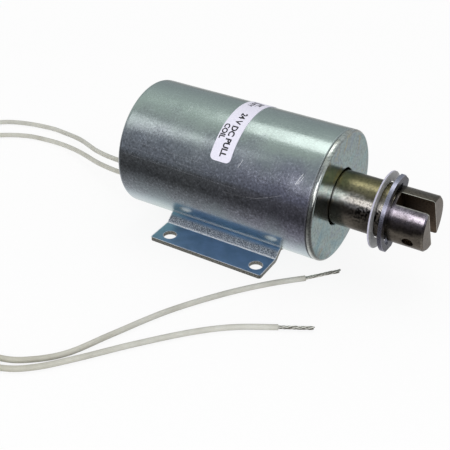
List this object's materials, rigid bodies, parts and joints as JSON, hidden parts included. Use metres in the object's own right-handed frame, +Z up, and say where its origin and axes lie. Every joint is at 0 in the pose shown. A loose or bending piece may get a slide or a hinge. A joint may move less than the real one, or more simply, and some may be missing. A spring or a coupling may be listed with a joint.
{
  "type": "push pull solenoid",
  "caption": "Tubular electric solenoid on a welded foot bracket, with a slotted plunger that slides into the coil and free lead wires at the rear.",
  "frame": {"origin": "Centre of the four bracket holes, on the mounting plane under the flanges.", "axes": "+X along the plunger and out of the front, +Z up from the mounting plane, +Y across the bracket; right-handed."},
  "size_m": [0.1852, 0.1098, 0.0403],
  "materials": {
    "zinc_steel": "satin zinc plate with a clear chromate",
    "zinc_steel_face": "smooth zinc plate, faintly iridescent",
    "soft_iron": "machined soft iron",
    "brass": "drawn brass",
    "bobbin_nylon": "natural moulded nylon",
    "enamelled_copper": "enamelled copper wire",
    "polyester_tape": "polyester tape",
    "tinned_copper": "tinned copper",
    "white_nylon": "translucent white nylon",
    "blue_zinc_steel": "blue chromated zinc plate",
    "label_paper": "white paper label",
    "satin_nickel": "satin electroless nickel",
    "spring_steel": "plated spring steel",
    "lead_insulation": "extruded white insulation"
  },
  "bodies": {
    "body": {"case_tube": "zinc_steel", "front_cap": "zinc_steel_face", "rear_plate": "zinc_steel_face", "pole_piece": "soft_iron", "residual_shim": "brass", "guide_tube": "brass", "bobbin": "bobbin_nylon", "coil_winding": "enamelled_copper", "coil_tape": "polyester_tape", "coil_tails": "enamelled_copper", "lead_splices": "tinned_copper", "lead_bushing": "white_nylon", "mounting_bracket": "blue_zinc_steel", "rating_label": "label_paper", "lead_wire_a": "lead_insulation", "lead_wire_b": "lead_insulation", "lead_tip_a": "tinned_copper", "lead_tip_b": "tinned_copper"},
    "ring": {"retaining_ring": "spring_steel"},
    "plunger": {"plunger": "satin_nickel"},
    "washer": {"nylon_washer": "white_nylon"}
  },
  "joints": [
    {"name": "plunger_slide", "type": "slide", "parent": "body", "child": "ring", "axis": [1, 0, 0], "range_m": [-0.0149, 0.006]},
    {"name": "plunger_turn", "type": "hinge", "parent": "ring", "child": "plunger", "pos_m": [0.0477, 0, 0.02112], "axis": [1, 0, 0], "continuous": true},
    {"name": "washer_slide", "type": "slide", "parent": "body", "child": "washer", "axis": [1, 0, 0], "range_m": [-0.0126, 0.0052]}
  ],
  "couplings": [
    {"joint": "washer_slide", "follows": "plunger_slide", "ratio": 0.8423}
  ]
}
